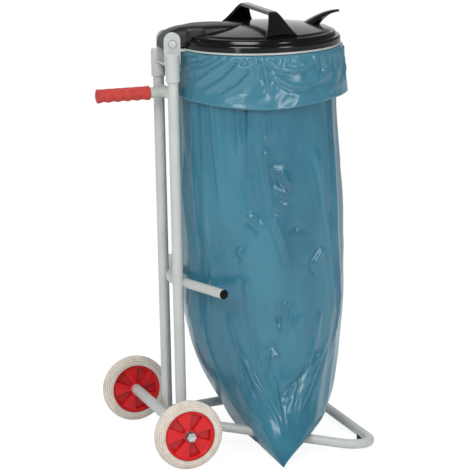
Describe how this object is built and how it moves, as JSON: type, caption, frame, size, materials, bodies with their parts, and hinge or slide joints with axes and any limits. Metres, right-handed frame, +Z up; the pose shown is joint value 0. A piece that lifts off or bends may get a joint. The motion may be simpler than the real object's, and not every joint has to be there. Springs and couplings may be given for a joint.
{
  "type": "wheeled waste sack stand",
  "caption": "Two-wheeled tubular stand that holds a plastic waste sack open in a ring, with a hinged lid, a grip for pushing and a wide base loop.",
  "frame": {"origin": "on the floor under the middle of the stand's bounding box", "axes": "+X forward from the grip towards the front crossbar, +Y to the left wheel, +Z up"},
  "size_m": [0.6002, 0.618, 1.0138],
  "materials": {
    "paint": "light grey powder coat, semi gloss",
    "zinc": "zinc plated",
    "black": "matt",
    "grip": "satin soft plastic",
    "band": "matt",
    "film": "thin glossy polyethylene film",
    "lid": "glossy moulded",
    "hub": "glossy moulded",
    "tyre": "light grey solid rubber"
  },
  "bodies": {
    "stand": {"left_upright": "paint", "right_upright": "paint", "axle_tube": "paint", "axle_rod": "zinc", "base_loop": "paint", "left_glide": "black", "right_glide": "black", "rung": "paint", "handle_tube": "paint", "handle_grip": "grip", "cradle_bar": "paint", "left_arm_plug": "black", "right_arm_plug": "black", "left_sleeve": "paint", "right_sleeve": "paint", "ring_bracket": "paint", "sack_ring": "paint", "sack_band": "band", "sack": "film", "pivot_bolt": "zinc", "pivot_nut": "zinc", "left_axle_washer": "zinc", "right_axle_washer": "zinc", "left_axle_nut": "zinc", "right_axle_nut": "zinc"},
    "lid_body": {"lid": "lid", "lid_handle": "lid", "left_handle_screw": "zinc", "right_handle_screw": "zinc"},
    "left_wheel": {"left_hub": "hub", "left_tyre": "tyre"},
    "right_wheel": {"right_hub": "hub", "right_tyre": "tyre"}
  },
  "joints": [
    {"name": "lid_hinge", "type": "hinge", "parent": "stand", "child": "lid_body", "pos_m": [-0.12465, 0, 0.944], "axis": [0, -1, 0], "range_deg": [0, 100]},
    {"name": "left_wheel_spin", "type": "hinge", "parent": "stand", "child": "left_wheel", "pos_m": [-0.16615, 0.2145, 0.08], "axis": [0, 1, 0], "continuous": true},
    {"name": "right_wheel_spin", "type": "hinge", "parent": "stand", "child": "right_wheel", "pos_m": [-0.16615, -0.2145, 0.08], "axis": [0, 1, 0], "continuous": true}
  ]
}
